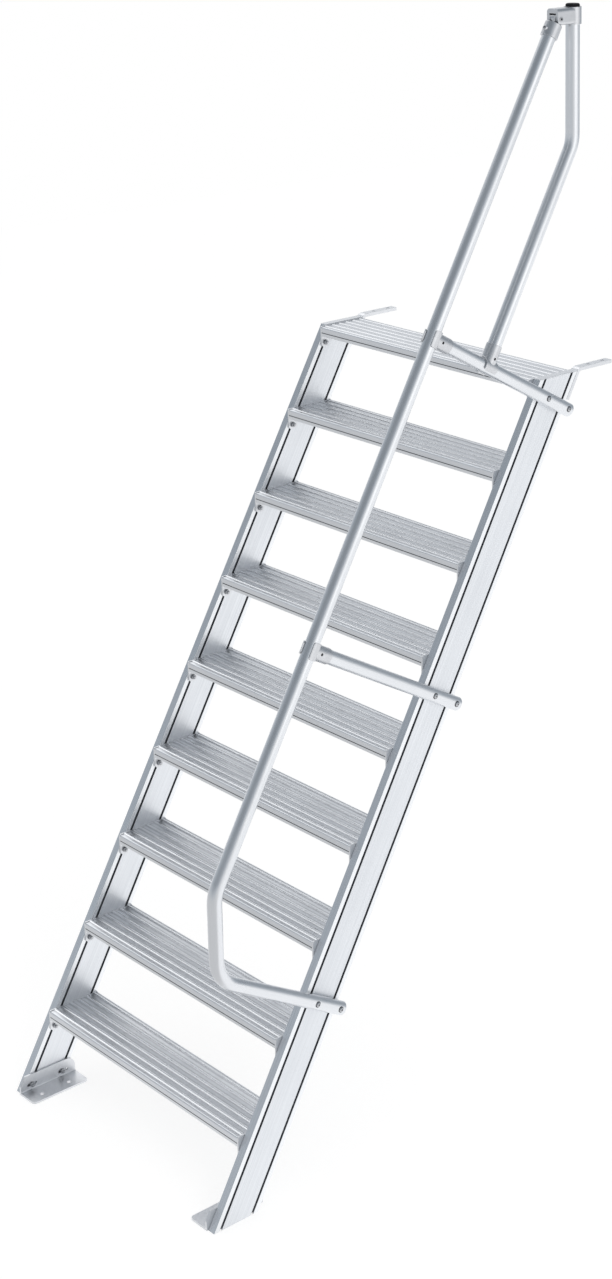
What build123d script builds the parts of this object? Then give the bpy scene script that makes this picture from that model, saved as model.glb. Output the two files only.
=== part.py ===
from build123d import *
from math import cos, radians, sin, tan
import os

os.makedirs("parts", exist_ok=True)

# Millimetres, +Z up. X runs along the treads, +Y is the way a person climbs.
# The origin sits on the underside of the left floor bracket, between its two floor holes.

# Overall layout
pitch_deg = 60
riser = 240
first_rise = 232
tread_count = 9
clear_width = 924
top_z = first_rise + (tread_count - 1) * riser

# Stringer extrusion, with a T-slot along both edges of each wide face
stringer_w = 26
stringer_d = 130
stringer_wall = 2.5
slot_inset = 18.6
slot_open = 8
slot_lip = 2.5
channel_w = 15
channel_d = 5
bolt_hole_r = 4.5

# Tread extrusion and its end plates
nose_overhang = 23.4
tread_depth = 170.6
tread_skin = 3
nose_r = 4
nose_line = 19
nose_line_w = 2
nose_h = 31
ridge_first = 19.5
ridge_rear_in = 12.1
ridge_count = 6
ridge_w = 13
ridge_h = 1.8
rib_t = 2.5
boss_w = 12
boss_slot_w = 5.5
boss_slot_d = 9
rear_groove_in = 5
rear_groove_w = 2
rear_groove_d = 0.8
plate_t = 5
plate_h = 36
tab_h = 66
tab_bolt_drop = 51.9
rear_bolt_drop = 20

# Floor brackets
foot_t = 6
foot_leg = 76
foot_h = 54
foot_front = -5
foot_len = 193
foot_corner_r = 30
foot_chamfer_from = 27
foot_slot_z = 22
foot_slot_len = 36
foot_hole_in = 49
foot_hole_front = 41
foot_hole_pitch = 95
foot_hole_r = 6.5

# Landing straps
strap_t = 10
strap_up = 9
strap_reach = 143
strap_down = 75
strap_bend_r = 8
strap_hole_r = 5.5
strap_hole_rear = 26
strap_hole_pitch = 60

# Handrail
tube_r = 20
tube_wall = 3
tube_fit = 0.15
rail_stand_off = 476
post_stand_off = 243
support_s = 663
support_pitch = 890.5
grip_y = 25
bend_r = 100
cap_h = 8
cap_plug = 15
cap_chamfer = 2.5

# Clamp fittings
ring_r = 24.5
ring_len = 48
strap_len = 36
stub_r = 22.5
stub_end = 65
screw_at = 27
screw_r = 4
clamp_corner_r = 7
collar_h = 48
collar_above_pivot = 29.4
pivot_to_post = 66.2
lug_t = 12
lug_r = 15
ear_t = 6
ear_gap = 0.3
cheek_t = 9.4
cheek_reach = 12
body_corner_r = 10
pin_r = 4
socket_grip = 32
socket_wall = 8
rail_end = 3368
rail_end_to_pivot = 24

# Derived positions
pitch = radians(pitch_deg)
run, rise = cos(pitch), sin(pitch)
going = riser / tan(pitch)
x_left = -foot_hole_in
x_right = x_left + clear_width
toe_y = -(foot_hole_front + foot_hole_pitch / 2)
rail_x = x_right + stringer_w + tube_r
stringer_len = top_z / rise
ridge_pitch = (tread_depth - ridge_first - ridge_rear_in) / (ridge_count - 1)
slope_dir = (0, run, rise)
face_dir = (0, -rise, run)


def depth_y(depth, z):
    """Y of the line that lies at this depth behind the stringer front face, at height z."""
    return toe_y + z / tan(pitch) + depth / rise


def on_slope(s, n):
    """World Y and Z of a point s up the slope and n in front of the stringer front face."""
    return toe_y + s * run - n * rise, s * rise + n * run


# Stringers: hollow extrusions, cut level at the floor and at the top tread
stringer_plane = Plane(origin=(0, toe_y, 0), x_dir=(1, 0, 0), z_dir=slope_dir)
for side, x_face in (("left", x_left - stringer_w), ("right", x_right)):
    with BuildPart() as stringer:
        with BuildSketch(stringer_plane.offset(-stringer_d)) as section:
            with Locations((x_face, 0)):
                Rectangle(stringer_w, stringer_d, align=(Align.MIN, Align.MIN))
            fillet(section.vertices(), 1.5)
            slot_rows = [slot_inset, stringer_d - slot_inset]
            for row in slot_rows:
                with Locations((x_face, row), (x_face + stringer_w, row)):
                    Rectangle(2 * slot_lip, slot_open, mode=Mode.SUBTRACT)
                with Locations(
                    (x_face + slot_lip + channel_d / 2, row),
                    (x_face + stringer_w - slot_lip - channel_d / 2, row),
                ):
                    Rectangle(channel_d, channel_w, mode=Mode.SUBTRACT)
            x_mid = x_face + stringer_w / 2
            core_len = stringer_d - 2 * (slot_inset + channel_w / 2 + stringer_wall)
            with Locations((x_mid, stringer_d / 2)):
                Rectangle(stringer_w - 2 * stringer_wall, core_len, mode=Mode.SUBTRACT)
            edge_len = slot_inset - channel_w / 2 - 2 * stringer_wall
            edge_mid = stringer_wall + edge_len / 2
            with Locations((x_mid, edge_mid), (x_mid, stringer_d - edge_mid)):
                Rectangle(stringer_w - 2 * stringer_wall, edge_len, mode=Mode.SUBTRACT)
            heart_w = stringer_w - 2 * (slot_lip + channel_d + 2)
            with Locations((x_mid, slot_inset), (x_mid, stringer_d - slot_inset)):
                Rectangle(heart_w, channel_w - 4, mode=Mode.SUBTRACT)
        extrude(amount=stringer_len + 3 * stringer_d)
        split(bisect_by=Plane.XY, keep=Keep.TOP)
        split(bisect_by=Plane.XY.offset(top_z), keep=Keep.BOTTOM)
    stringer.part.label = f"{side}_stringer"
    export_step(stringer.part, f"parts/{side}_stringer.step")

# Tread extrusion, drawn with Y from the stringer front face and Z down from its top
nose_y = -nose_overhang
rear_y = nose_y + tread_depth
ridge_ys = [nose_y + ridge_first + i * ridge_pitch for i in range(ridge_count)]
with BuildPart() as tread_blank:
    with BuildSketch(Plane.YZ.offset(x_left + plate_t)) as tread_section:
        with BuildLine() as tread_outline:
            Polyline(
                (nose_y + nose_r, -ridge_h),
                (rear_y, -ridge_h),
                (rear_y, -nose_h),
                (rear_y - 12, -nose_h),
                (rear_y - 12, tread_skin - nose_h),
                (rear_y - tread_skin, tread_skin - nose_h),
                (rear_y - tread_skin, -ridge_h - tread_skin),
                (nose_y + nose_r, -ridge_h - tread_skin),
            )
            RadiusArc(
                (nose_y + nose_r, -ridge_h - tread_skin),
                (nose_y + tread_skin, -ridge_h - nose_r),
                nose_r - tread_skin,
            )
            Polyline(
                (nose_y + tread_skin, -ridge_h - nose_r),
                (nose_y + tread_skin, -nose_line + 1),
                (nose_y + 2 * tread_skin, -nose_line),
                (nose_y + 2 * tread_skin, -nose_line - nose_line_w),
                (nose_y + tread_skin, -nose_line - nose_line_w - 1),
                (nose_y + tread_skin, tread_skin - nose_h),
                (nose_y + 14, tread_skin - nose_h),
                (nose_y + 14, -nose_h),
                (nose_y + 1, -nose_h),
                (nose_y, 1 - nose_h),
                (nose_y, -nose_line - nose_line_w),
                (nose_y + tread_skin, -nose_line - nose_line_w),
                (nose_y + tread_skin, -nose_line),
                (nose_y, -nose_line),
                (nose_y, -ridge_h - nose_r),
            )
            RadiusArc(
                (nose_y, -ridge_h - nose_r),
                (nose_y + nose_r, -ridge_h),
                nose_r,
            )
        make_face()
        for ridge_y in ridge_ys:
            with BuildLine():
                ThreePointArc(
                    (ridge_y - ridge_w / 2, -ridge_h),
                    (ridge_y, 0),
                    (ridge_y + ridge_w / 2, -ridge_h),
                )
                Line((ridge_y + ridge_w / 2, -ridge_h), (ridge_y - ridge_w / 2, -ridge_h))
            make_face()
        rib_top = -ridge_h - tread_skin
        for rib_y in (ridge_ys[1], ridge_ys[4]):
            with Locations((rib_y, -nose_h)):
                Rectangle(rib_t, nose_h + rib_top, align=(Align.CENTER, Align.MIN))
                Rectangle(boss_w, boss_w, align=(Align.CENTER, Align.MIN))
                Rectangle(
                    boss_slot_w,
                    boss_slot_d,
                    align=(Align.CENTER, Align.MIN),
                    mode=Mode.SUBTRACT,
                )
        with Locations((rear_y - rear_groove_in, -ridge_h)):
            Rectangle(rear_groove_w, 2 * rear_groove_d, mode=Mode.SUBTRACT)
    extrude(amount=clear_width - 2 * plate_t)

# End plate blank, the tread outline with a tab down to the front T-slot
tab_bolt_y = depth_y(slot_inset, -tab_bolt_drop) - toe_y
rear_bolt_y = depth_y(stringer_d - slot_inset, -rear_bolt_drop) - toe_y
with BuildPart() as plate_blank:
    with BuildSketch(Plane.YZ.offset(x_left)) as plate_section:
        with BuildLine():
            Polyline(
                (nose_y + nose_r, 0),
                (rear_y, 0),
                (rear_y, -plate_h),
                (tab_bolt_y + 28, -plate_h),
                (tab_bolt_y + 12, -tab_h),
                (nose_y + 6, -tab_h),
                (nose_y, 6 - tab_h),
                (nose_y, -nose_r),
            )
            RadiusArc((nose_y, -nose_r), (nose_y + nose_r, 0), nose_r)
        make_face()
        with Locations((tab_bolt_y, -tab_bolt_drop), (rear_bolt_y, -rear_bolt_drop)):
            Rectangle(2 * bolt_hole_r, 2 * bolt_hole_r, rotation=pitch_deg, mode=Mode.SUBTRACT)
    extrude(amount=plate_t)

for k in range(1, tread_count + 1):
    step_z = first_rise + (k - 1) * riser
    step_y = toe_y + step_z / tan(pitch)
    with BuildPart() as tread:
        with Locations((0, step_y, step_z)):
            add(tread_blank.part)
    tread.part.label = f"tread_{k}"
    export_step(tread.part, f"parts/tread_{k}.step")
    for side, shift in (("left", 0), ("right", clear_width - plate_t)):
        with BuildPart() as end_plate:
            with Locations((shift, step_y, step_z)):
                add(plate_blank.part)
        end_plate.part.label = f"tread_{k}_{side}_plate"
        export_step(end_plate.part, f"parts/tread_{k}_{side}_plate.step")

# Floor brackets: bent angles inside each stringer, slotted where the bolts enter the T-slots
slot_ys = [depth_y(slot_inset, foot_slot_z), depth_y(stringer_d - slot_inset, foot_slot_z) + 4]
foot_y = toe_y + foot_front
chamfer_run = (foot_h - foot_chamfer_from) / tan(pitch)
with BuildPart() as left_foot:
    with BuildSketch(Plane.YZ.offset(x_left)) as foot_side:
        with BuildLine():
            Polyline(
                (foot_y, 0),
                (foot_y + foot_len, 0),
                (foot_y + foot_len, foot_h),
                (foot_y + chamfer_run, foot_h),
                (foot_y, foot_chamfer_from),
                close=True,
            )
        make_face()
        fillet(foot_side.vertices().sort_by(Axis.Y)[-2:].sort_by(Axis.Z)[-1], foot_corner_r)
        with Locations(*[(y, foot_slot_z) for y in slot_ys]):
            SlotOverall(foot_slot_len, 2 * bolt_hole_r, mode=Mode.SUBTRACT)
    extrude(amount=foot_t)
    with BuildSketch(Plane.XY) as foot_leg_shape:
        with Locations((x_left, foot_y)):
            Rectangle(foot_leg, foot_len, align=(Align.MIN, Align.MIN))
        fillet(foot_leg_shape.vertices().group_by(Axis.X)[-1], 12)
        with Locations((0, -foot_hole_pitch / 2), (0, foot_hole_pitch / 2)):
            Circle(foot_hole_r, mode=Mode.SUBTRACT)
    extrude(amount=foot_t)
    inner_bend = left_foot.edges().filter_by(Axis.Y).filter_by(
        lambda e: abs(e.center().X - x_left - foot_t) < 0.1 and abs(e.center().Z - foot_t) < 0.1
    )
    fillet(inner_bend, 4)
left_foot.part.label = "left_floor_bracket"
export_step(left_foot.part, "parts/left_floor_bracket.step")

x_centre = (x_left + x_right) / 2
with BuildPart() as right_foot:
    add(mirror(left_foot.part, about=Plane.YZ.offset(x_centre)))
right_foot.part.label = "right_floor_bracket"
export_step(right_foot.part, "parts/right_floor_bracket.step")

# Landing straps: flat bars bolted behind the stringers and bent level onto the landing
back_y = depth_y(stringer_d, top_z + strap_up)
foot_of_strap = top_z - strap_down
strap_end_y = depth_y(stringer_d, top_z) + strap_reach
for side, x_face in (("left", x_left - stringer_w), ("right", x_right)):
    with BuildPart() as strap:
        with BuildSketch(Plane.YZ.offset(x_face)) as strap_side:
            with BuildLine() as strap_line:
                FilletPolyline(
                    (depth_y(stringer_d, foot_of_strap), foot_of_strap),
                    (back_y, top_z + strap_up),
                    (strap_end_y, top_z + strap_up),
                    radius=strap_bend_r + strap_t,
                )
                offset(amount=-strap_t, side=Side.RIGHT, closed=True)
            make_face()
        extrude(amount=stringer_w)
        strap_mid = x_face + stringer_w / 2
        last_hole = strap_end_y - strap_hole_rear
        with Locations(Plane.XY.offset(top_z + strap_up)):
            with Locations((strap_mid, last_hole), (strap_mid, last_hole - strap_hole_pitch)):
                Hole(strap_hole_r, depth=strap_t)
    strap.part.label = f"{side}_landing_strap"
    export_step(strap.part, f"parts/{side}_landing_strap.step")

# Swivel axis at the handrail's upper end, which also sets where the upright post stands
pivot_s = rail_end + rail_end_to_pivot
pivot_y, pivot_z = on_slope(pivot_s, rail_stand_off)
collar_y = pivot_y + pivot_to_post
post_top = pivot_z + collar_above_pivot

# Handrail: one bent tube, from the lowest support up to the swivel at the top
rail_plane = Plane(origin=(rail_x, toe_y, 0), x_dir=slope_dir, z_dir=(1, 0, 0))
turn_n = (support_s * run - grip_y) / rise
turn_s = (grip_y + rail_stand_off * rise) / run
with BuildPart() as handrail:
    with BuildLine(rail_plane) as rail_path:
        FilletPolyline(
            (support_s, -stringer_d),
            (support_s, turn_n),
            (turn_s, rail_stand_off),
            (rail_end, rail_stand_off),
            radius=bend_r,
        )
    with BuildSketch(Plane(origin=rail_path.line @ 0, z_dir=rail_path.line % 0)):
        Circle(tube_r)
        Circle(tube_r - tube_wall, mode=Mode.SUBTRACT)
    sweep(path=rail_path.line)
handrail.part.label = "handrail"
export_step(handrail.part, "parts/handrail.step")

# Straight support tubes, square to the stringer
support_top = rail_stand_off - tube_r - 1
for name, s in (("middle", support_s + support_pitch), ("upper", support_s + 2 * support_pitch)):
    foot = on_slope(s, -stringer_d)
    with BuildPart() as support:
        with BuildSketch(Plane(origin=(rail_x, *foot), z_dir=face_dir)):
            Circle(tube_r)
            Circle(tube_r - tube_wall, mode=Mode.SUBTRACT)
        extrude(amount=stringer_d + support_top)
    support.part.label = f"{name}_rail_support"
    export_step(support.part, f"parts/{name}_rail_support.step")

# Upper post: starts in a tee on the upper support, then bends upright
upper_s = support_s + 2 * support_pitch
post_y = collar_y - toe_y
post_turn_s = (post_y + post_stand_off * rise) / run
post_top_n = (post_top - post_y * tan(pitch)) * run
post_top_s = (post_y + post_top_n * rise) / run
with BuildPart() as upper_post:
    with BuildLine(rail_plane) as post_path:
        FilletPolyline(
            (upper_s + tube_r + 1, post_stand_off),
            (post_turn_s, post_stand_off),
            (post_top_s, post_top_n),
            radius=bend_r,
        )
    with BuildSketch(Plane(origin=post_path.line @ 0, z_dir=post_path.line % 0)):
        Circle(tube_r)
        Circle(tube_r - tube_wall, mode=Mode.SUBTRACT)
    sweep(path=post_path.line)
upper_post.part.label = "upper_post"
export_step(upper_post.part, "parts/upper_post.step")

# Open clamp tee: ring axis along local X, stub along local -Y, outer side local +Z
bore_r = tube_r + tube_fit
with BuildPart() as tee_blank:
    with BuildSketch(Plane.YZ.offset(-ring_len / 2)):
        Circle(ring_r)
    extrude(amount=ring_len)
    with BuildSketch(Plane.XZ.offset(stub_end)):
        Circle(stub_r)
    extrude(amount=-stub_end)
    with BuildSketch(Plane.YZ.offset(-ring_len / 2)):
        Circle(bore_r)
        with BuildLine():
            Polyline(
                (0, 0),
                (60 * sin(radians(30)), 60 * cos(radians(30))),
                (60, 60),
                (60, 0),
                (60 * sin(radians(110)), 60 * cos(radians(110))),
                close=True,
            )
        make_face()
    extrude(amount=ring_len, mode=Mode.SUBTRACT)
    with BuildSketch(Plane.XZ.offset(stub_end)):
        Circle(bore_r)
    extrude(amount=-stub_end, mode=Mode.SUBTRACT)
    for end in (-1, 1):
        with Locations((end * (strap_len + ring_len) / 4, ring_r, -ring_r)):
            Box((ring_len - strap_len) / 2, 2 * ring_r, 2 * ring_r, mode=Mode.SUBTRACT)
    clamp_corners = tee_blank.edges().filter_by(GeomType.LINE).filter_by(
        lambda e: abs(e.length - (ring_r - bore_r)) < 0.05 and abs(e.center().Y) > 1
    )
    fillet(clamp_corners, clamp_corner_r)
    with Locations(Plane.XY.offset(ring_r)):
        with Locations((0, -screw_at)):
            Hole(screw_r, depth=ring_r - bore_r + 3)
for name, s in (("middle", support_s + support_pitch), ("upper", upper_s)):
    y, z = on_slope(s, rail_stand_off)
    with BuildPart() as tee:
        with Locations(Plane(origin=(rail_x, y, z), x_dir=slope_dir, z_dir=(1, 0, 0))):
            add(tee_blank.part)
    tee.part.label = f"{name}_rail_tee"
    export_step(tee.part, f"parts/{name}_rail_tee.step")
y, z = on_slope(upper_s, post_stand_off)
with BuildPart() as post_tee:
    with Locations(Plane(origin=(rail_x, y, z), x_dir=face_dir, z_dir=(1, 0, 0))):
        add(tee_blank.part)
post_tee.part.label = "post_tee"
export_step(post_tee.part, "parts/post_tee.step")

# Swivel: collar on the post with a block and a tongue, forked socket on the handrail end
fork_w = lug_t + 2 * (ear_gap + ear_t)
body_w = fork_w + 2 * (ear_gap + cheek_t)
body_h = collar_h - 2
at_pivot = Location((pivot_y, pivot_z), (0, 0, pitch_deg))
socket_top = socket_wall + 2 * ear_gap - rail_end_to_pivot
with BuildPart() as post_collar:
    with BuildSketch(Plane.YZ.offset(rail_x - body_w / 2)):
        with Locations((pivot_y - cheek_reach, post_top - collar_h / 2)):
            Rectangle(
                pivot_to_post + cheek_reach,
                body_h,
                align=(Align.MIN, Align.CENTER),
            )
        with Locations(at_pivot * Location((socket_top, 0))):
            Rectangle(
                collar_h,
                3 * collar_h,
                align=(Align.MAX, Align.CENTER),
                mode=Mode.SUBTRACT,
            )
    extrude(amount=body_w)
    with BuildSketch(Plane.XZ.offset(-collar_y)):
        with Locations((rail_x, post_top - collar_h / 2)):
            RectangleRounded(body_w, body_h, body_corner_r)
    extrude(amount=pivot_to_post + cheek_reach, mode=Mode.INTERSECT)
    with BuildSketch(Plane.XY.offset(post_top - collar_h)):
        with Locations((rail_x, collar_y)):
            Circle(ring_r)
    extrude(amount=collar_h)
    with BuildSketch(Plane.YZ.offset(rail_x - fork_w / 2 - ear_gap)):
        with Locations((pivot_y, pivot_z)):
            Circle(lug_r + 2 * ear_gap)
            Rectangle(
                collar_h,
                2 * (lug_r + 2 * ear_gap),
                align=(Align.MAX, Align.CENTER),
            )
        with Locations(at_pivot):
            Rectangle(
                2 * collar_h,
                2 * (lug_r + 2 * ear_gap),
                align=(Align.MAX, Align.CENTER),
            )
    extrude(amount=fork_w + 2 * ear_gap, mode=Mode.SUBTRACT)
    with BuildSketch(Plane.YZ.offset(rail_x - lug_t / 2)):
        with Locations((pivot_y, pivot_z)):
            Circle(lug_r)
            Rectangle(pivot_to_post, 2 * lug_r, align=(Align.MIN, Align.CENTER))
    extrude(amount=lug_t)
    with BuildSketch(Plane.XY.offset(post_top - collar_h)):
        with Locations((rail_x, collar_y)):
            Circle(bore_r)
    extrude(amount=collar_h, mode=Mode.SUBTRACT)
    with BuildSketch(Plane.YZ.offset(rail_x - lug_t / 2)):
        with Locations((pivot_y, pivot_z)):
            Circle(pin_r + tube_fit)
    extrude(amount=body_w, both=True, mode=Mode.SUBTRACT)
post_collar.part.label = "post_collar"
export_step(post_collar.part, "parts/post_collar.step")

socket_foot = on_slope(rail_end - socket_grip, rail_stand_off)
socket_plane = Plane(origin=(rail_x, *socket_foot), x_dir=(1, 0, 0), z_dir=slope_dir)
with BuildPart() as rail_socket:
    with BuildSketch(socket_plane):
        Circle(ring_r)
    extrude(amount=socket_grip + socket_wall)
    with BuildSketch(Plane(origin=(rail_x, toe_y, 0), x_dir=slope_dir, z_dir=(1, 0, 0))):
        with Locations((pivot_s, rail_stand_off)):
            Circle(lug_r + 2 * ear_gap)
    extrude(amount=fork_w, both=True, mode=Mode.SUBTRACT)
    for ear_x in (lug_t / 2 + ear_gap, -lug_t / 2 - ear_gap - ear_t):
        with BuildSketch(Plane(origin=(rail_x + ear_x, toe_y, 0), x_dir=slope_dir, z_dir=(1, 0, 0))):
            with Locations((pivot_s, rail_stand_off)):
                Circle(lug_r)
                Rectangle(
                    rail_end_to_pivot - socket_wall / 2,
                    2 * lug_r,
                    align=(Align.MAX, Align.CENTER),
                )
                Circle(pin_r + tube_fit, mode=Mode.SUBTRACT)
        extrude(amount=ear_t)
    with BuildSketch(socket_plane):
        Circle(bore_r)
    extrude(amount=socket_grip, mode=Mode.SUBTRACT)
rail_socket.part.label = "rail_socket"
export_step(rail_socket.part, "parts/rail_socket.step")

# Plastic end cap pressed into the top of the post
with BuildPart() as post_cap:
    with BuildSketch(Plane.XY.offset(post_top)):
        with Locations((rail_x, collar_y)):
            Circle(tube_r)
    extrude(amount=cap_h)
    chamfer(post_cap.edges().group_by(Axis.Z)[-1], cap_chamfer)
    with BuildSketch(Plane.XY.offset(post_top)):
        with Locations((rail_x, collar_y)):
            Circle(tube_r - tube_wall - tube_fit)
    extrude(amount=-cap_plug)
post_cap.part.label = "post_cap"
export_step(post_cap.part, "parts/post_cap.step")
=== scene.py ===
import math

import bmesh
import bpy
from mathutils import Matrix, Vector


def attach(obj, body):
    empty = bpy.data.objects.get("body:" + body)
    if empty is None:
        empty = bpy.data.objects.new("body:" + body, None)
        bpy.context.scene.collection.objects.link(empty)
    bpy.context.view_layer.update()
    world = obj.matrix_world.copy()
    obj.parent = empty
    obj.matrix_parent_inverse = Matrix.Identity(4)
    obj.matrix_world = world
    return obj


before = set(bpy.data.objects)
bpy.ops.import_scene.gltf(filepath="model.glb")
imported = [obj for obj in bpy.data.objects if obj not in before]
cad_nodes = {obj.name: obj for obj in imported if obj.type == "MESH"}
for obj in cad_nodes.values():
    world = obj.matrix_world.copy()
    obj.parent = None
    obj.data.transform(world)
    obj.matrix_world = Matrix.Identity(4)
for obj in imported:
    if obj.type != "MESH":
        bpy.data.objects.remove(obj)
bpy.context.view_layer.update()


# Studio: a pale floor, a white room and one big soft lamp to the right of the ladder.
# The room is white where the camera looks into it; metal mirrors a studio that is bright on the
# right, up on the left and behind on the left, and shaded straight behind and up in front.
def node(tree, kind, feeds=None, out=0, **settings):
    """Adds one shader node, feeds its sockets from values or other nodes, and returns an output."""
    made = tree.nodes.new("ShaderNode" + kind)
    for key, value in settings.items():
        setattr(made, key, value)
    for socket, value in (feeds or {}).items():
        if isinstance(value, bpy.types.NodeSocket):
            tree.links.new(value, made.inputs[socket])
        else:
            made.inputs[socket].default_value = value
    return made.outputs[out]


def soft_step(tree, value, start, end, low=0.0, high=1.0):
    """Runs smoothly from low to high as value goes from start to end."""
    feeds = {0: value, 1: start, 2: end, 3: low, 4: high}
    return node(tree, "MapRange", feeds, interpolation_type="SMOOTHSTEP")


def blend(tree, share, one, other):
    """Mixes two colours."""
    feeds = {0: share, 6: one, 7: other}
    return node(tree, "Mix", feeds, out=2, data_type="RGBA")


floor_size, floor_drop = 24, 0.0006
ladder_middle = Vector((0.43, 0.7, 0))
floor_bm = bmesh.new()
bmesh.ops.create_grid(floor_bm, x_segments=4, y_segments=4, size=floor_size / 2)
floor_mesh = bpy.data.meshes.new("studio_floor")
floor_bm.to_mesh(floor_mesh)
floor_bm.free()
floor = bpy.data.objects.new("studio_floor", floor_mesh)
bpy.context.scene.collection.objects.link(floor)
floor.location = ladder_middle - Vector((0, 0, floor_drop))
floor_paint = bpy.data.materials.new("pale_floor")
floor_paint.use_nodes = True
tree = floor_paint.node_tree
tree.nodes.remove(tree.nodes["Principled BSDF"])
floor_grey, floor_glow_level = 0.34, 0.757
front_y, front_level = -1.05, 0.66
back_y, back_level = -0.60, 1.06
floor_matt = node(tree, "BsdfDiffuse", {0: (floor_grey, floor_grey, floor_grey, 1)})
floor_glow = node(tree, "Emission", {0: (1, 1, 1, 1), 1: floor_glow_level})
floor_plain = node(tree, "AddShader", {0: floor_matt, 1: floor_glow})
floor_back = node(tree, "SeparateXYZ", {0: node(tree, "TexCoord", out=3)}, out=1)
floor_level = soft_step(tree, floor_back, front_y, back_y, front_level, back_level)
floor_mirrored = node(tree, "Emission", {0: (0.965, 0.98, 1.0, 1), 1: floor_level})
floor_in_metal = tree.nodes.new("ShaderNodeLightPath").outputs["Is Glossy Ray"]
floor_mix = node(tree, "MixShader", {0: floor_in_metal, 1: floor_plain, 2: floor_mirrored})
tree.links.new(floor_mix, tree.nodes["Material Output"].inputs["Surface"])
floor_mesh.materials.append(floor_paint)

room = bpy.data.worlds.new("white_room")
room.use_nodes = True
bpy.context.scene.world = room
tree = room.node_tree
tree.nodes.clear()
way = node(tree, "TexCoord")
# Each light: the way to it, the cosines at its edge and at its core, and the level it adds.
room_lights = (
    ((0.98, 0.20, 0.00), 0.50, 1.00, 0.30),
    ((0.98, 0.20, 0.00), 0.90, 1.00, 0.46),
    ((-0.70, 0.10, 0.70), 0.82, 0.98, 0.85),
    ((-0.74, 0.54, 0.40), 0.72, 0.97, 0.26),
    ((-0.72, 0.69, -0.05), 0.965, 0.995, 0.36),
    ((0.10, 0.98, 0.10), 0.60, 0.97, -0.08),
    ((0.10, -0.82, 0.56), 0.75, 0.97, -0.08),
)
high_level, low_level = 0.38, 0.64
way_up = node(tree, "SeparateXYZ", {0: way}, out=2)
level = soft_step(tree, way_up, 0.45, -0.05, high_level, low_level)
for aim, edge, core, gain in room_lights:
    along = Vector(aim).normalized()
    near = node(tree, "VectorMath", {0: way, 1: along}, out=1, operation="DOT_PRODUCT")
    lobe = soft_step(tree, near, edge, core, 0, gain)
    level = node(tree, "Math", {0: lobe, 1: level}, operation="ADD")
dim_tint, bright_tint = (0.80, 0.895, 1.0, 1), (0.975, 0.985, 1, 1)
seen_level, fill_level = 1.0, 0.72
tint = blend(tree, soft_step(tree, level, 0.35, 0.95), dim_tint, bright_tint)
mirrored = node(tree, "Background", {0: tint, 1: level})
seen = node(tree, "Background", {0: (1, 1, 1, 1), 1: seen_level})
fill = node(tree, "Background", {0: (1, 1, 1, 1), 1: fill_level})
rays = tree.nodes.new("ShaderNodeLightPath")
matt_or_metal = node(tree, "MixShader", {0: rays.outputs["Is Glossy Ray"], 1: fill, 2: mirrored})
whole = node(tree, "MixShader", {0: rays.outputs["Is Camera Ray"], 1: matt_or_metal, 2: seen})
room_out = tree.nodes.new("ShaderNodeOutputWorld")
tree.links.new(whole, room_out.inputs["Surface"])

lamp_data = bpy.data.lights.new("soft_lamp", "AREA")
lamp_data.shape = "RECTANGLE"
lamp_data.size = 2.6
lamp_data.size_y = 3.2
lamp_data.energy = 70
lamp = bpy.data.objects.new("soft_lamp", lamp_data)
lamp.location = (5.6, -0.3, 4.6)
lamp_aim = ladder_middle + Vector((0, 0, 1.4))
lamp.rotation_euler = (lamp_aim - lamp.location).to_track_quat("-Z", "Y").to_euler()
lamp.visible_glossy = False
bpy.context.scene.collection.objects.link(lamp)

camera_place = (5.5208, -3.4265, 3.8803)
yaw, tilt, roll = 0.8302, -0.2284, -0.0102
focal_px, photo_height_px = 2368.4, 1279
ahead = Vector((-math.sin(yaw) * math.cos(tilt), math.cos(yaw) * math.cos(tilt), math.sin(tilt)))
level_right = Vector((math.cos(yaw), math.sin(yaw), 0))
level_up = level_right.cross(ahead)
right = level_right * math.cos(roll) + level_up * math.sin(roll)
upward = level_up * math.cos(roll) - level_right * math.sin(roll)
camera_data = bpy.data.cameras.new("photo_camera")
camera_data.sensor_width = 36
camera_data.sensor_fit = "AUTO"
camera_data.lens = focal_px / photo_height_px * camera_data.sensor_width
camera_data.shift_x = -0.11
camera_data.shift_y = -0.26
camera_data.clip_end = 60
camera = bpy.data.objects.new("photo_camera", camera_data)
axes = Matrix((right, upward, -ahead)).transposed().to_4x4()
camera.matrix_world = Matrix.Translation(camera_place) @ axes
bpy.context.scene.collection.objects.link(camera)
bpy.context.scene.camera = camera
bpy.context.scene.view_settings.view_transform = "Standard"


# Stringers: two hollow extrusions in satin anodised aluminium, 26 x 130 mm, leaning at 60 degrees.
# Die lines run up their whole length; each wide face has two T-slots, painted dark inside as shade,
# and between a slot and the edge the strip is slightly crowned and painted paler as a highlight.
def new_finish(title, colour, roughness, metallic=1.0):
    """Starts a material and returns it with its node tree and its main shader."""
    finish = bpy.data.materials.new(title)
    finish.use_nodes = True
    shader = finish.node_tree.nodes["Principled BSDF"]
    shader.inputs["Base Color"].default_value = (*colour, 1)
    shader.inputs["Roughness"].default_value = roughness
    shader.inputs["Metallic"].default_value = metallic
    return finish, finish.node_tree, shader


def math_node(tree, operation, one, other=0.0, third=0.0):
    """One sum on two or three values."""
    return node(tree, "Math", {0: one, 1: other, 2: third}, operation=operation)


def away_from(tree, value, middle):
    """How far a value is from a middle, either way."""
    return math_node(tree, "ABSOLUTE", math_node(tree, "SUBTRACT", value, middle))


def wash(tree, share, most, one, other):
    """Mixes the other colour into one by a share, scaled so that a full share mixes in most."""
    return blend(tree, math_node(tree, "MULTIPLY", share, most), one, other)


def split_xyz(tree, vector):
    """The three values of a vector."""
    split = tree.nodes.new("ShaderNodeSeparateXYZ")
    tree.links.new(vector, split.inputs[0])
    return split.outputs


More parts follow.
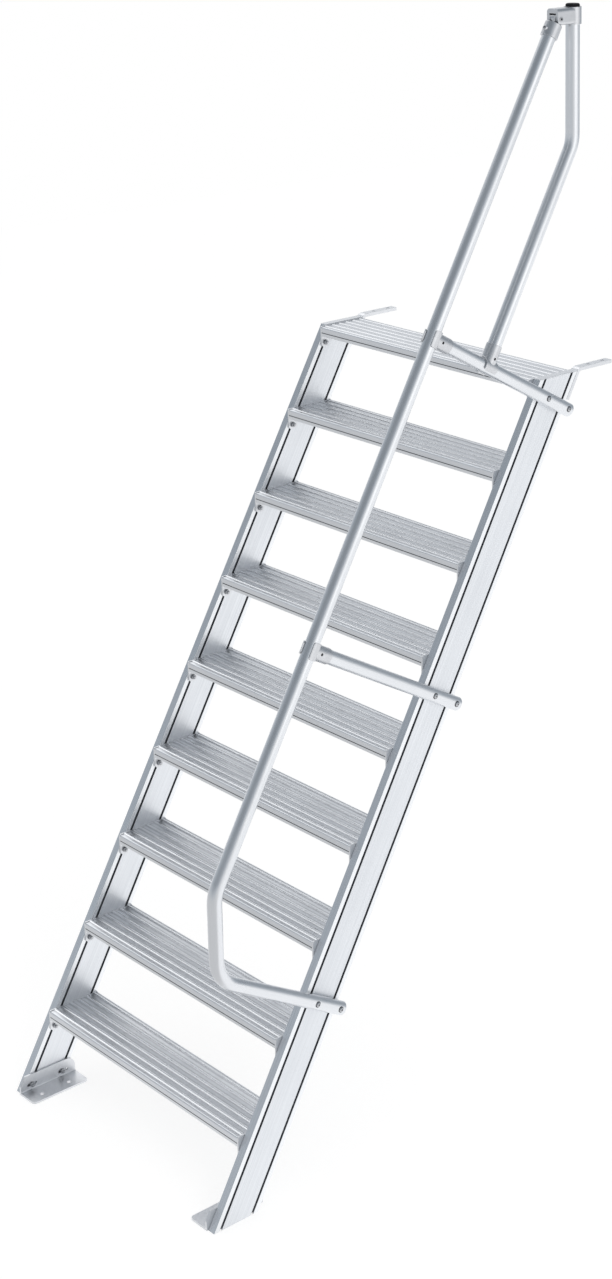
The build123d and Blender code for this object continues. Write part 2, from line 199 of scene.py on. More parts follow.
def streaks(tree, coords, stretch, detail=3.0, roughness=0.6):
    """Noise drawn out by a stretch along each axis: cells per metre."""
    drawn = node(tree, "VectorMath", {0: coords, 1: stretch}, operation="MULTIPLY")
    feeds = {"Vector": drawn, "Scale": 1.0, "Detail": detail, "Roughness": roughness}
    return node(tree, "TexNoise", feeds)


def edges_of(tree, radius):
    """Two outputs: the normal with its sharp edges eased to a radius, and how near an outer edge
    is, 0 to 1. An inside corner is shaded by its own piece, so it counts as no edge."""
    eased = node(tree, "Bevel", {"Radius": radius}, samples=4)
    plain = node(tree, "NewGeometry", out=1)
    same = node(tree, "VectorMath", {0: eased, 1: plain}, out=1, operation="DOT_PRODUCT")
    look_out = {"Distance": radius * 4}
    open_side = node(tree, "AmbientOcclusion", look_out, out=1, samples=6, only_local=True)
    outer = soft_step(tree, open_side, 0.70, 0.92)
    turned = soft_step(tree, same, 0.995, 0.90)
    return eased, math_node(tree, "MULTIPLY", turned, outer)


def coat(piece, finish):
    """Gives a CAD node the finish in every slot it has."""
    if not piece.material_slots:
        piece.data.materials.append(finish)
    for place in piece.material_slots:
        place.material = finish


toe_y = -0.0885
slope = math.radians(60)
x_left, x_right = -0.049, 0.875
stringer_w, stringer_d = 0.026, 0.130
slot_inset = 0.0186


def slope_space(tree):
    """Coordinates that lean with the stringers: X across, Y back from the front face, Z up the length."""
    place = node(tree, "TexCoord", out=3)
    shift = (0, -toe_y * math.sin(slope), -toe_y * math.cos(slope))
    turn = (math.pi / 2 - slope, 0, 0)
    feeds = {"Vector": place, "Location": shift, "Rotation": turn}
    return node(tree, "Mapping", feeds)


stringer_pale = (0.80, 0.815, 0.84)
outer_face, slot_floor = 0.0127, 0.0112
slot_rim, slot_wall = 0.0080, 0.0072
strip_rim, strip_edge, strip_middle = 0.0505, 0.0525, 0.0585
crown_curve = -30000
stringer_finish, tree, shader = new_finish("satin_profile_aluminium", stringer_pale, 0.36)
leaning = slope_space(tree)
across, depth, _ = split_xyz(tree, leaning)
die_lines = streaks(tree, leaning, (330, 330, 0.9), detail=4)
broad_lines = streaks(tree, leaning, (70, 70, 0.4), detail=2)
clouds = streaks(tree, leaning, (5, 5, 3), detail=4)
handling = streaks(tree, leaning, (38, 30, 9), detail=6, roughness=0.75)
from_middle = away_from(tree, across, (x_left + x_right) / 2)
from_core = away_from(tree, from_middle, (x_right - x_left + stringer_w) / 2)
from_centre = away_from(tree, depth, stringer_d / 2)
sunk = soft_step(tree, from_core, outer_face, slot_floor)
from_row = away_from(tree, from_centre, stringer_d / 2 - slot_inset)
inside = soft_step(tree, from_row, slot_rim, slot_wall)
facing_x, _, facing_z = split_xyz(tree, node(tree, "NewGeometry", out=1))
not_sawn = soft_step(tree, math_node(tree, "ABSOLUTE", facing_z), 0.9, 0.7)
slot_shade = math_node(tree, "MULTIPLY", math_node(tree, "MULTIPLY", sunk, inside), not_sawn)
wide_face = soft_step(tree, math_node(tree, "ABSOLUTE", facing_x), 0.5, 0.8)
strip_crown_and_highlight = soft_step(tree, from_centre, strip_rim, strip_edge)
strip_crown_and_highlight = math_node(tree, "MULTIPLY", strip_crown_and_highlight, wide_face)
worn_edge = soft_step(tree, from_centre, 0.0628, 0.0648)
bands = soft_step(tree, die_lines, 0.35, 0.65)
pale = blend(tree, bands, (0.765, 0.78, 0.805, 1), (0.85, 0.865, 0.885, 1))
pale = wash(tree, clouds, 0.25, pale, (0.70, 0.715, 0.74, 1))
# Painted highlight: the crowned strip between slot and edge is painted paler.
pale = wash(tree, strip_crown_and_highlight, 0.85, pale, (0.95, 0.955, 0.965, 1))
scuff = soft_step(tree, handling, 0.62, 0.74)
pale = wash(tree, scuff, 0.25, pale, (0.62, 0.63, 0.65, 1))
soft_edges, edge_wear_and_highlight = edges_of(tree, 0.0009)
edge_wear_and_highlight = math_node(tree, "MULTIPLY", edge_wear_and_highlight, soft_step(tree, handling, 0.35, 0.6, 0.35, 0.9))
# Wear and painted highlight: outer edges are painted bright, more where handled.
pale = blend(tree, edge_wear_and_highlight, pale, (0.93, 0.935, 0.95, 1))
# Painted shade: the inside of each T-slot is painted dark.
pale = blend(tree, slot_shade, pale, (0.27, 0.28, 0.30, 1))
tree.links.new(pale, shader.inputs["Base Color"])
rough = soft_step(tree, clouds, 0.3, 0.7, 0.31, 0.43)
rough = math_node(tree, "ADD", rough, math_node(tree, "MULTIPLY", scuff, 0.10))
rough = math_node(tree, "SUBTRACT", rough, math_node(tree, "MULTIPLY", worn_edge, 0.10))
rough = math_node(tree, "ADD", rough, math_node(tree, "MULTIPLY", slot_shade, 0.3))
tree.links.new(rough, shader.inputs["Roughness"])
relief = math_node(tree, "ADD", die_lines, math_node(tree, "MULTIPLY", broad_lines, 1.6))
crown = math_node(tree, "SUBTRACT", from_centre, strip_middle)
crown = math_node(tree, "MULTIPLY", math_node(tree, "MULTIPLY", crown, crown), crown_curve)
relief = math_node(tree, "ADD", relief, math_node(tree, "MULTIPLY", crown, strip_crown_and_highlight))
bumped = node(tree, "Bump", {"Strength": 0.06, "Distance": 0.0004, "Height": relief, "Normal": soft_edges})
tree.links.new(bumped, shader.inputs["Normal"])
for side in ("left", "right"):
    coat(cad_nodes[f"{side}_stringer"], stringer_finish)


# Treads: nine extrusions, each with a small rounded nose and six low crowned grip ridges on top.
# Ridge crests are worn and painted bright as a highlight, a painted shade line sits at their feet, and die
# lines run across.
first_step, riser = 0.232, 0.240
ridge_first, ridge_pitch, ridge_half = -0.0039, 0.0278, 0.0065
tread_reach_down, nose_line_at = 0.06, 0.0200
tread_pale = (0.78, 0.795, 0.82)
tread_finish, tree, shader = new_finish("ribbed_tread_aluminium", tread_pale, 0.34)
place = node(tree, "TexCoord", out=3)
_, back, height = split_xyz(tree, place)
above_first = math_node(tree, "SUBTRACT", height, first_step - tread_reach_down)
count = math_node(tree, "DIVIDE", above_first, riser)
count = math_node(tree, "FLOOR", count)
step_top = math_node(tree, "MULTIPLY_ADD", count, riser, first_step)
under_top = math_node(tree, "SUBTRACT", step_top, height)
step_front = math_node(tree, "MULTIPLY_ADD", step_top, 1 / math.tan(slope), toe_y)
reach = math_node(tree, "SUBTRACT", back, step_front)
over_ridges = math_node(tree, "SUBTRACT", reach, ridge_first - ridge_pitch / 2)
to_ridge = math_node(tree, "FLOORED_MODULO", over_ridges, ridge_pitch)
to_ridge = away_from(tree, to_ridge, ridge_pitch / 2)
crest_wear_and_highlight = soft_step(tree, under_top, 0.0012, 0.0001)
on_top = soft_step(tree, under_top, 0.0030, 0.0022)
ridge_foot_shade = away_from(tree, to_ridge, ridge_half + 0.0004)
ridge_foot_shade = soft_step(tree, ridge_foot_shade, 0.0042, 0.0004)
ridge_foot_shade = math_node(tree, "MULTIPLY", ridge_foot_shade, on_top)
die_lines = streaks(tree, place, (0.7, 240, 240), detail=3)
broad_lines = streaks(tree, place, (0.5, 60, 60), detail=2)
clouds = streaks(tree, place, (6, 9, 9), detail=4)
foot_shade_breakup = streaks(tree, place, (1.6, 30, 22), detail=2, roughness=0.5)
pale = blend(tree, die_lines, (0.765, 0.78, 0.805, 1), (0.83, 0.845, 0.87, 1))
pale = wash(tree, clouds, 0.24, pale, (0.66, 0.67, 0.69, 1))
# Painted shade: a darker line along the foot of each ridge, broken up by noise.
foot_shade_share = math_node(tree, "MULTIPLY", ridge_foot_shade, soft_step(tree, foot_shade_breakup, 0.35, 0.65, 0.40, 0.60))
pale = blend(tree, foot_shade_share, pale, (0.46, 0.465, 0.48, 1))
# Wear and painted highlight: the ridge crests are painted paler.
pale = wash(tree, crest_wear_and_highlight, 0.45, pale, (0.93, 0.935, 0.945, 1))
on_nose = soft_step(tree, reach, -0.0190, -0.0205)
below_line = soft_step(tree, under_top, 0.0212, 0.0222)
lip_highlight = math_node(tree, "MULTIPLY", on_nose, below_line)
# Painted highlight: the lower lip under the nose groove is painted paler.
pale = wash(tree, lip_highlight, 0.3, pale, (0.96, 0.965, 0.97, 1))
nose_groove_shadow = soft_step(tree, away_from(tree, under_top, nose_line_at), 0.0019, 0.0011)
nose_groove_shadow = math_node(tree, "MULTIPLY", nose_groove_shadow, on_nose)
# Painted shadow: the groove across the nose is painted dark, wider than the groove itself.
pale = wash(tree, nose_groove_shadow, 0.85, pale, (0.26, 0.265, 0.28, 1))
under = soft_step(tree, under_top, 0.0045, 0.0060)
_, _, facing_z = split_xyz(tree, node(tree, "NewGeometry", out=1))
underside_shade = math_node(tree, "MULTIPLY", under, soft_step(tree, facing_z, -0.1, -0.6))
# Painted shade: faces under the tread top that look down are painted darker.
pale = wash(tree, underside_shade, 0.35, pale, (0.5, 0.51, 0.53, 1))
tree.links.new(pale, shader.inputs["Base Color"])
rough = soft_step(tree, clouds, 0.3, 0.7, 0.27, 0.36)
rough = math_node(tree, "SUBTRACT", rough, math_node(tree, "MULTIPLY", crest_wear_and_highlight, 0.05))
rough = math_node(tree, "ADD", rough, math_node(tree, "MULTIPLY", foot_shade_share, 0.20))
tree.links.new(rough, shader.inputs["Roughness"])
relief = math_node(tree, "ADD", die_lines, math_node(tree, "MULTIPLY", broad_lines, 1.4))
bumped = node(tree, "Bump", {"Strength": 0.022, "Distance": 0.0004, "Height": relief})
tree.links.new(bumped, shader.inputs["Normal"])
tread_count = 9
for step in range(1, tread_count + 1):
    coat(cad_nodes[f"tread_{step}"], tread_finish)


# End plates, floor brackets and landing straps: cut from rolled aluminium plate and bar, 5 to 10 mm.
# The faces keep faint rolling lines and clouds, the sawn edges are finely scored and brighter.
def corner_shade_mask(tree, reach, start, end):
    """How deep a spot lies in an inside corner or beside a neighbour within reach, 0 to 1; it sets where
    shade is painted.
    """
    open_side = node(tree, "AmbientOcclusion", {"Distance": reach}, out=1, samples=8)
    return soft_step(tree, open_side, start, end)


plate_pale = (0.74, 0.75, 0.77)
plate_finish, tree, shader = new_finish("rolled_plate_aluminium", plate_pale, 0.40)
leaning = slope_space(tree)
place = node(tree, "TexCoord", out=3)
facing_x, _, _ = split_xyz(tree, node(tree, "NewGeometry", out=1))
rolling = streaks(tree, leaning, (260, 260, 4))
sawn = streaks(tree, place, (30, 420, 420), detail=2)
clouds = streaks(tree, place, (14, 14, 14), detail=6)
wide_face = soft_step(tree, math_node(tree, "ABSOLUTE", facing_x), 0.6, 0.9)
lines = node(tree, "Mix", {0: wide_face, 2: sawn, 3: rolling}, data_type="FLOAT")
pale = blend(tree, lines, (0.76, 0.77, 0.79, 1), (0.90, 0.905, 0.92, 1))
pale = wash(tree, clouds, 0.30, pale, (0.66, 0.665, 0.68, 1))
soft_edges, edge_wear_and_highlight = edges_of(tree, 0.0008)
sawn_face = math_node(tree, "SUBTRACT", 1.0, wide_face)
pale = wash(tree, sawn_face, 0.30, pale, (0.90, 0.905, 0.915, 1))
# Wear and painted highlight: outer edges are painted bright.
pale = wash(tree, edge_wear_and_highlight, 0.8, pale, (0.94, 0.945, 0.955, 1))
corner_shade = corner_shade_mask(tree, 0.008, 0.80, 0.45)
# Painted shade: inside corners and spots beside neighbours are painted darker.
pale = wash(tree, corner_shade, 0.45, pale, (0.42, 0.425, 0.44, 1))
tree.links.new(pale, shader.inputs["Base Color"])
rough = soft_step(tree, clouds, 0.3, 0.7, 0.34, 0.50)
tree.links.new(rough, shader.inputs["Roughness"])
bumped = node(tree, "Bump", {"Strength": 0.16, "Distance": 0.0004, "Height": lines, "Normal": soft_edges})
tree.links.new(bumped, shader.inputs["Normal"])
for side in ("left", "right"):
    for step in range(1, tread_count + 1):
        coat(cad_nodes[f"tread_{step}_{side}_plate"], plate_finish)
    coat(cad_nodes[f"{side}_floor_bracket"], plate_finish)
    coat(cad_nodes[f"{side}_landing_strap"], plate_finish)


# Closing plates: a thin aluminium plate lies on the sawn top end of each stringer and shuts the
# hollow chambers; it is cut to the stringer's outline, with its upper edge broken all round.
landing_z = first_step + riser * (tread_count - 1)
closing_t, edge_break = 0.0020, 0.0005
closing_gap, inset_front, inset_back = 0.0001, 0.0002, 0.0004
sawn_front = toe_y + landing_z / math.tan(slope)
closing_front = sawn_front + inset_front
closing_back = sawn_front + stringer_d / math.sin(slope) - inset_back
closing_plates = bmesh.new()
for x_low in (x_left - stringer_w, x_right):
    rows = []
    for lift, pulled_in in ((0, 0), (closing_t - edge_break, 0), (closing_t, edge_break)):
        lean = lift / math.tan(slope)
        x_ends = (x_low + pulled_in, x_low + stringer_w - pulled_in)
        y_ends = (closing_front + lean + pulled_in, closing_back + lean - pulled_in)
        corners = ((0, 0), (1, 0), (1, 1), (0, 1))
        z = landing_z + closing_gap + lift
        rows.append([closing_plates.verts.new((x_ends[i], y_ends[j], z)) for i, j in corners])
    closing_plates.faces.new(reversed(rows[0]))
    closing_plates.faces.new(rows[-1])
    for lower, upper in zip(rows, rows[1:]):
        for i in range(4):
            j = (i + 1) % 4
            closing_plates.faces.new((lower[i], lower[j], upper[j], upper[i]))
bmesh.ops.recalc_face_normals(closing_plates, faces=closing_plates.faces)
closing_mesh = bpy.data.meshes.new("closing_plates")
closing_plates.to_mesh(closing_mesh)
closing_plates.free()
closing_mesh.materials.append(plate_finish)
closing_piece = bpy.data.objects.new("closing_plates", closing_mesh)
bpy.context.scene.collection.objects.link(closing_piece)
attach(closing_piece, "root")


# Nuts and bolts of the end plates and floor brackets: zinc plated steel, M8. Each bolt's flat head sits in
# the stringer's T-slot and is not drawn here; a washer and a hexagon nut on its threaded end pull the
# plate up to the stringer.
def ringed_shape(rings, segments=36, recess=None):
    """A shape about +Z from rings of (height, radius, width across flats or None), closed at both
    ends. From ring number recess on, its faces take the piece's second finish."""
    shape = bmesh.new()
    rows = []
    for height, radius, flats in rings:
        row = []
        for i in range(segments):
            turn = math.tau * i / segments
            reach = radius
            if flats:
                off = (turn + math.pi / 6) % (math.pi / 3) - math.pi / 6
                reach = min(radius, flats / 2 / math.cos(off))
            row.append(shape.verts.new((reach * math.cos(turn), reach * math.sin(turn), height)))
        rows.append(row)
    for number, (lower, upper) in enumerate(zip(rows, rows[1:])):
        for i in range(segments):
            j = (i + 1) % segments
            face = shape.faces.new((lower[i], lower[j], upper[j], upper[i]))
            face.material_index = int(recess is not None and number >= recess)
    shape.faces.new(list(reversed(rows[0])))
    last = shape.faces.new(rows[-1])
    last.material_index = int(recess is not None)
    return shape


def threaded_end(radius, depth, thread, length, segments=24, per_turn=6):
    """The end of a bolt about +Z, from height 0, with its thread cut as a real helix."""
    chamfer_h, chamfer_lead = 0.0012, 0.0006
    shape = bmesh.new()
    rows = []
    count = round(length / thread * per_turn)
    for k in range(count + 1):
        height = k * thread / per_turn
        row = []
        for i in range(segments):
            phase = (height / thread - i / segments) % 1
            cut = depth * abs(2 * phase - 1)
            past_chamfer = max(0, height - length + chamfer_h)
            reach = min(radius - cut, radius + chamfer_lead - past_chamfer)
            turn = math.tau * i / segments
            row.append(shape.verts.new((reach * math.cos(turn), reach * math.sin(turn), height)))
        rows.append(row)
    for lower, upper in zip(rows, rows[1:]):
        for i in range(segments):
            j = (i + 1) % segments
            shape.faces.new((lower[i], lower[j], upper[j], upper[i]))
    shape.faces.new(list(reversed(rows[0])))
    shape.faces.new(rows[-1])
    return shape


def gather(parts):
    """Joins (shape, matrices) pairs into one mesh, a copy of the shape at each matrix."""
    whole = bmesh.new()
    for shape, spots in parts:
        scrap = bpy.data.meshes.new("scrap")
        shape.to_mesh(scrap)
        shape.free()
        for spot in spots:
            before = len(whole.verts)
            whole.from_mesh(scrap)
            whole.verts.ensure_lookup_table()
            bmesh.ops.transform(whole, matrix=spot, verts=whole.verts[before:])
        bpy.data.meshes.remove(scrap)
    return whole


def finish_piece(name, shape, slot_name, *finishes):
    """Turns the mesh into a piece of the ladder with crisp edges where faces turn sharply."""
    crisp_turn = math.radians(32)
    bmesh.ops.recalc_face_normals(shape, faces=shape.faces)
    for face in shape.faces:
        face.smooth = True
    for edge in shape.edges:
        edge.smooth = len(edge.link_faces) == 2 and edge.calc_face_angle(0) < crisp_turn
    mesh = bpy.data.meshes.new(name)
    shape.to_mesh(mesh)
    shape.free()
    piece = bpy.data.objects.new(name, mesh)
    for finish in finishes:
        mesh.materials.append(finish)
    bpy.context.scene.collection.objects.link(piece)
    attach(piece, "root")


def pointing(direction, spot, spin=0.0):
    """Places a shape made about +Z so that it points along direction from spot."""
    turn = Vector(direction).to_track_quat("Z", "Y").to_matrix().to_4x4()
    return Matrix.Translation(spot) @ turn @ Matrix.Rotation(spin, 4, "Z")


zinc_pale = (0.62, 0.63, 0.64)
zinc_finish, tree, shader = new_finish("zinc_plated_steel", zinc_pale, 0.32)
place = node(tree, "TexCoord", out=3)
grain = streaks(tree, place, (900, 900, 900), detail=2)
patches = streaks(tree, place, (140, 140, 140), detail=4)
pale = blend(tree, patches, (0.42, 0.42, 0.42, 1), (0.66, 0.67, 0.70, 1))
corner_shade = corner_shade_mask(tree, 0.006, 0.80, 0.40)
# Painted shade: inside corners and spots beside neighbours are painted near black.
pale = wash(tree, corner_shade, 0.7, pale, (0.10, 0.10, 0.105, 1))
tree.links.new(pale, shader.inputs["Base Color"])
tree.links.new(soft_step(tree, patches, 0.3, 0.7, 0.24, 0.42), shader.inputs["Roughness"])
bumped = node(tree, "Bump", {"Strength": 0.12, "Distance": 0.0002, "Height": grain})
tree.links.new(bumped, shader.inputs["Normal"])

plate_t, bracket_t = 0.005, 0.006
front_bolt = (-0.0085, -0.0519)
rear_bolt = (0.1171, -0.0200)
bracket_bolts = ((-0.0543, 0.022), (0.0528, 0.022))
nut_h, nut_flats, bolt_r = 0.0065, 0.013, 0.0039
thread_depth, thread_pitch, past_nut = 0.0006, 0.00125, 0.0035
washer_t, washer_r = 0.0016, 0.008


def bolt_spots(face_offset, places):
    """Matrices on the inside of both stringers, at this distance from their inner faces."""
    spots = []
    for number, (y, z) in enumerate(places):
        for x, way_in in ((x_left + face_offset, 1), (x_right - face_offset, -1)):
            spin = 0.35 * number + 0.5 * way_in
            spots.append(pointing((way_in, 0, 0), (x, y, z), spin))
    return spots


def bolt_set(name, thickness, places):
    """Washers, nuts and threaded bolt ends that stand on a plate of this thickness."""
    top = thickness + washer_t
    washer = ringed_shape(
        (
            (0, 0.0042, None),
            (0, washer_r - 0.0002, None),
            (0.0002, washer_r, None),
            (washer_t - 0.0002, washer_r, None),
            (washer_t, washer_r - 0.0002, None),
            (washer_t, 0.0042, None),
        )
    )
    nut = ringed_shape(
        (
            (0, 0.0043, None),
            (0, 0.0063, nut_flats),
            (0.0004, 0.0069, nut_flats),
            (0.0011, 0.0080, nut_flats),
            (nut_h - 0.0011, 0.0080, nut_flats),
            (nut_h - 0.0004, 0.0069, nut_flats),
            (nut_h, 0.0062, nut_flats),
            (nut_h, 0.0046, None),
            (nut_h - 0.0008, 0.0039, None),
        )
    )
    end = threaded_end(bolt_r, thread_depth, thread_pitch, nut_h + past_nut)
    parts = (
        (washer, bolt_spots(thickness, places)),
        (nut, bolt_spots(top, places)),
        (end, bolt_spots(top, places)),
    )
    finish_piece(name, gather(parts), "zinc_steel", zinc_finish)


plate_bolt_places = []
for step in range(tread_count):
    step_z = first_step + riser * step
    step_y = toe_y + step_z / math.tan(slope)
    plate_bolt_places.append((step_y + front_bolt[0], step_z + front_bolt[1]))
    plate_bolt_places.append((step_y + rear_bolt[0], step_z + rear_bolt[1]))
bolt_set("end_plate_bolts", plate_t, plate_bolt_places)
bolt_set("floor_bracket_bolts", bracket_t, bracket_bolts)


# Handrail, its supports and the upright post: 40 mm drawn aluminium tube, anodised.
# Drawing leaves fine lines along each tube, over faint clouds that change tone and gloss.
rail_x = 0.921
tube_pale = (0.84, 0.85, 0.865)
tube_finish, tree, shader = new_finish("drawn_tube_aluminium", tube_pale, 0.30)
place = node(tree, "TexCoord", out=3)
draw_lines = streaks(tree, place, (700, 2.5, 2.5), detail=3)
clouds = streaks(tree, place, (9, 4, 4), detail=5)
specks = streaks(tree, place, (160, 160, 160), detail=3)
pale = blend(tree, draw_lines, (0.78, 0.79, 0.81, 1), (0.88, 0.89, 0.905, 1))
pale = wash(tree, clouds, 0.25, pale, (0.72, 0.73, 0.75, 1))
tree.links.new(pale, shader.inputs["Base Color"])
rough = soft_step(tree, clouds, 0.3, 0.7, 0.25, 0.36)
tree.links.new(rough, shader.inputs["Roughness"])
relief = math_node(tree, "ADD", draw_lines, math_node(tree, "MULTIPLY", specks, 0.3))
bumped = node(tree, "Bump", {"Strength": 0.08, "Distance": 0.0003, "Height": relief})
tree.links.new(bumped, shader.inputs["Normal"])
for tube in ("handrail", "middle_rail_support", "upper_rail_support", "upper_post"):
    coat(cad_nodes[tube], tube_finish)


# Clamp tees, the collar and the rail socket: sand cast aluminium, tumbled smooth, with a fine grain.
# Their outer edges are worn and painted bright as a highlight, and the corners and the spots against the
# tubes are painted dark as shade.
cast_pale = (0.50, 0.51, 0.525)
cast_finish, tree, shader = new_finish("tumbled_cast_aluminium", cast_pale, 0.42)
place = node(tree, "TexCoord", out=3)
grain = streaks(tree, place, (420, 420, 420), detail=5, roughness=0.7)
clouds = streaks(tree, place, (45, 45, 45), detail=4)
soft_edges, edge_wear_and_highlight = edges_of(tree, 0.0014)
pale = blend(tree, clouds, (0.60, 0.605, 0.62, 1), (0.77, 0.775, 0.79, 1))
# Wear and painted highlight: outer edges are painted bright.
pale = wash(tree, edge_wear_and_highlight, 0.9, pale, (0.96, 0.965, 0.97, 1))
corner_shade = corner_shade_mask(tree, 0.007, 0.75, 0.40)
# Painted shade: inside corners and spots against the tubes are painted dark.
pale = wash(tree, corner_shade, 0.85, pale, (0.14, 0.143, 0.15, 1))
tree.links.new(pale, shader.inputs["Base Color"])
rough = soft_step(tree, grain, 0.3, 0.7, 0.26, 0.42)
rough = math_node(tree, "SUBTRACT", rough, math_node(tree, "MULTIPLY", edge_wear_and_highlight, 0.12))
tree.links.new(rough, shader.inputs["Roughness"])
bumped = node(tree, "Bump", {"Strength": 0.22, "Distance": 0.0004, "Height": grain, "Normal": soft_edges})
tree.links.new(bumped, shader.inputs["Normal"])
for fitting in ("middle_rail_tee", "upper_rail_tee", "post_tee", "post_collar", "rail_socket"):
    coat(cad_nodes[fitting], cast_finish)


# Screws: low button heads fix the tube feet, each on a thin dark ring painted as its shadow, and the
# landing straps.
# Socket set screws lock the tees and the rail socket on their tubes, and one low-headed socket bolt
# with a thin nut runs through both cheeks of the swivel.
def slope_point(x, s, n):
    """A point s up the slope and n in front of the stringer's front face."""
    y = toe_y + s * math.cos(slope) - n * math.sin(slope)
    return Vector((x, y, s * math.sin(slope) + n * math.cos(slope)))


def screw_piece(name, *parts):
    """A piece of zinc plated screws with recesses painted dark as shade, from (shape, matrices) pairs."""
    finish_piece(name, gather(parts), "zinc_steel", zinc_finish, recess_shade_finish)


slope_out = Vector((0, -math.sin(slope), math.cos(slope)))

# Painted shade: socket recesses and the rings under the foot screws' heads take this near black finish.
recess_shade_finish, tree, shader = new_finish("painted_recess_shade", (0.045, 0.046, 0.05), 0.5, 0.6)
place = node(tree, "TexCoord", out=3)
recess_mottle = streaks(tree, place, (500, 500, 500), detail=3)
dark = blend(tree, recess_mottle, (0.03, 0.03, 0.034, 1), (0.09, 0.09, 0.095, 1))
tree.links.new(dark, shader.inputs["Base Color"])
tree.links.new(soft_step(tree, recess_mottle, 0.3, 0.7, 0.4, 0.7), shader.inputs["Roughness"])

tube_r = 0.020
support_rows = (0.663, 1.5535, 2.4440)
rail_stand_off, post_stand_off = 0.476, 0.243
# A ring this wide is cut down to a plain hexagon by its width across flats.
plain_hex = 0.0100
head_h, head_r = 0.0042, 0.0068
head = ringed_shape(
    (
        (-0.0004, 0.0045, None),
        (0.0002, head_r - 0.0003, None),
        (0.0008, head_r, None),
        (0.0016, head_r - 0.0004, None),
        (0.0027, head_r - 0.0014, None),
        (0.0037, head_r - 0.0030, None),
        (head_h, head_r - 0.0040, None),
        (head_h, plain_hex, 0.0044),
        (head_h - 0.0024, plain_hex, 0.0044),
        (head_h - 0.0028, 0.0008, None),
    ),
    recess=7,
)
# Painted shadow: a thin dark ring under each foot screw's head, all in the recess finish.
head_shadow_ring = ringed_shape(
    (
        (-0.0022, 0.0050, None),
        (-0.0022, 0.0086, None),
        (-0.0001, 0.0086, None),
        (0.0002, 0.0082, None),
        (0.0002, 0.0050, None),
    ),
    recess=0,
)
head_spots = []
for s in support_rows:
    for n in (-slot_inset, slot_inset - stringer_d):
        head_spots.append(pointing((1, 0, 0), slope_point(rail_x + tube_r, s, n), 0.4 * s))
screw_piece("support_screws", (head, head_spots), (head_shadow_ring, head_spots))

set_screw = ringed_shape(
    (
        (0.0001, 0.0037, None),
        (0.0003, 0.0039, None),
        (0.0008, 0.0039, None),
        (0.0011, 0.0036, None),
        (0.0012, 0.0034, None),
        (0.0012, plain_hex, 0.0052),
        (0.0004, plain_hex, 0.0050),
        (0.0003, 0.0008, None),
    ),
    recess=4,
)
screw_to_ring = 0.027
screw_spots = []
for s, n, spin in (
    (support_rows[1], rail_stand_off - screw_to_ring, 0.0),
    (support_rows[2], rail_stand_off - screw_to_ring, 0.3),
    (support_rows[2] + screw_to_ring, post_stand_off, 0.7),
):
    screw_spots.append(pointing((1, 0, 0), slope_point(rail_x + tube_r, s, n), spin))
screw_piece("tee_set_screws", (set_screw, screw_spots))

pivot_s, socket_screw_s = 3.392, 3.354
pivot = slope_point(rail_x, pivot_s, rail_stand_off)
body_half = 0.0220
pin_bolt = ringed_shape(
    (
        (-0.0470, 0.0030, None),
        (-0.0465, 0.0038, None),
        (-0.0001, 0.0038, None),
        (-0.0001, 0.0064, None),
        (0.0005, 0.0066, None),
        (0.0011, 0.0062, None),
        (0.0014, 0.0056, None),
        (0.0014, 0.0046, None),
        (0.0014, plain_hex, 0.0064),
        (-0.0030, plain_hex, 0.0062),
        (-0.0034, 0.0010, None),
    ),
    recess=8,
)
pin_nut = ringed_shape(
    (
        (0.0000, 0.0058, None),
        (0.0002, 0.0064, 0.0126),
        (0.0020, 0.0064, 0.0126),
        (0.0023, 0.0058, None),
        (0.0023, 0.0044, None),
    )
)
to_cheek = Vector((body_half, 0, 0))
bolt_spot = pointing((1, 0, 0), pivot + to_cheek, 0.5)
nut_spot = pointing((-1, 0, 0), pivot - to_cheek, 0.3)
screw_piece("swivel_pin", (pin_bolt, (bolt_spot,)), (pin_nut, (nut_spot,)))

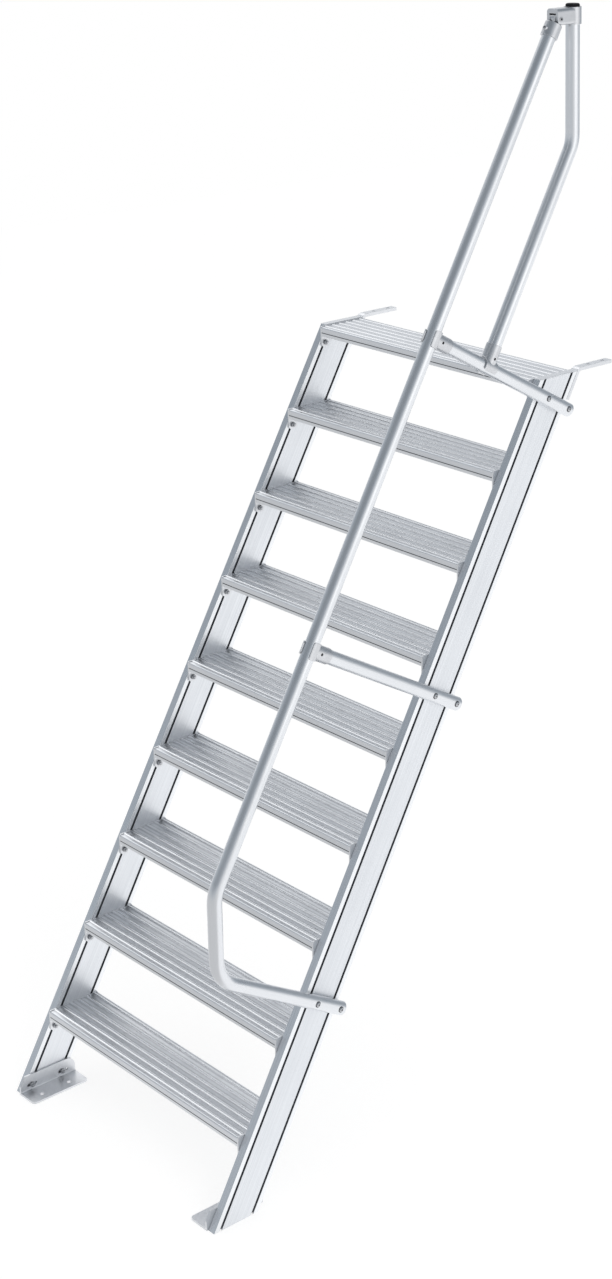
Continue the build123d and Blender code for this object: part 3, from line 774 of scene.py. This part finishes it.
ring_r = 0.0245
socket_boss = ringed_shape(
    (
        (-0.0030, 0.0084, None),
        (0.0006, 0.0078, None),
        (0.0030, 0.0072, None),
        (0.0040, 0.0066, None),
        (0.0043, 0.0058, None),
        (0.0043, 0.0042, None),
        (0.0020, 0.0042, None),
        (0.0016, 0.0006, None),
    )
)
boss_base = slope_point(rail_x, socket_screw_s, rail_stand_off) + slope_out * ring_r
boss = gather(((socket_boss, (pointing(slope_out, boss_base),)),))
finish_piece("rail_socket_boss", boss, "cast_aluminium", cast_finish)
boss_screw = ringed_shape(
    (
        (0.0010, 0.0038, None),
        (0.0052, 0.0038, None),
        (0.0056, 0.0034, None),
        (0.0056, plain_hex, 0.0040),
        (0.0034, plain_hex, 0.0040),
        (0.0030, 0.0006, None),
    ),
    recess=3,
)
screw_piece("rail_socket_screw", (boss_screw, (pointing(slope_out, boss_base, 0.4),)))

strap_t, strap_screw_drops = 0.010, (0.022, 0.056)
strap_spots = []
for x in (x_left - stringer_w / 2, x_right + stringer_w / 2):
    for below_top in strap_screw_drops:
        s = (landing_z - below_top + (stringer_d + strap_t) * math.cos(slope)) / math.sin(slope)
        spot = slope_point(x, s, -stringer_d - strap_t)
        strap_spots.append(pointing(-slope_out, spot, 0.5 + below_top * 9))
strap_head = ringed_shape(
    (
        (-0.0010, 0.0050, None),
        (0.0000, head_r - 0.0003, None),
        (0.0008, head_r, None),
        (0.0020, head_r - 0.0008, None),
        (0.0034, head_r - 0.0026, None),
        (0.0040, 0.0036, None),
        (0.0040, plain_hex, 0.0050),
        (0.0016, plain_hex, 0.0050),
        (0.0012, 0.0008, None),
    ),
    recess=6,
)
screw_piece("landing_strap_screws", (strap_head, strap_spots))


# Post cap: a black moulded plastic plug that shuts the top of the upright post.
# It is matt, with a fine moulded grain.
cap_black = (0.018, 0.018, 0.020)
cap_finish, tree, shader = new_finish("black_moulded_plastic", cap_black, 0.55, 0.0)
shader.inputs["Specular IOR Level"].default_value = 0.12
place = node(tree, "TexCoord", out=3)
grain = streaks(tree, place, (1400, 1400, 1400), detail=2)
clouds = streaks(tree, place, (60, 60, 60), detail=4)
dark = blend(tree, clouds, (0.005, 0.005, 0.006, 1), (0.014, 0.014, 0.016, 1))
tree.links.new(dark, shader.inputs["Base Color"])
tree.links.new(soft_step(tree, clouds, 0.3, 0.7, 0.45, 0.65), shader.inputs["Roughness"])
bumped = node(tree, "Bump", {"Strength": 0.25, "Distance": 0.0002, "Height": grain})
tree.links.new(bumped, shader.inputs["Normal"])
coat(cad_nodes["post_cap"], cap_finish)
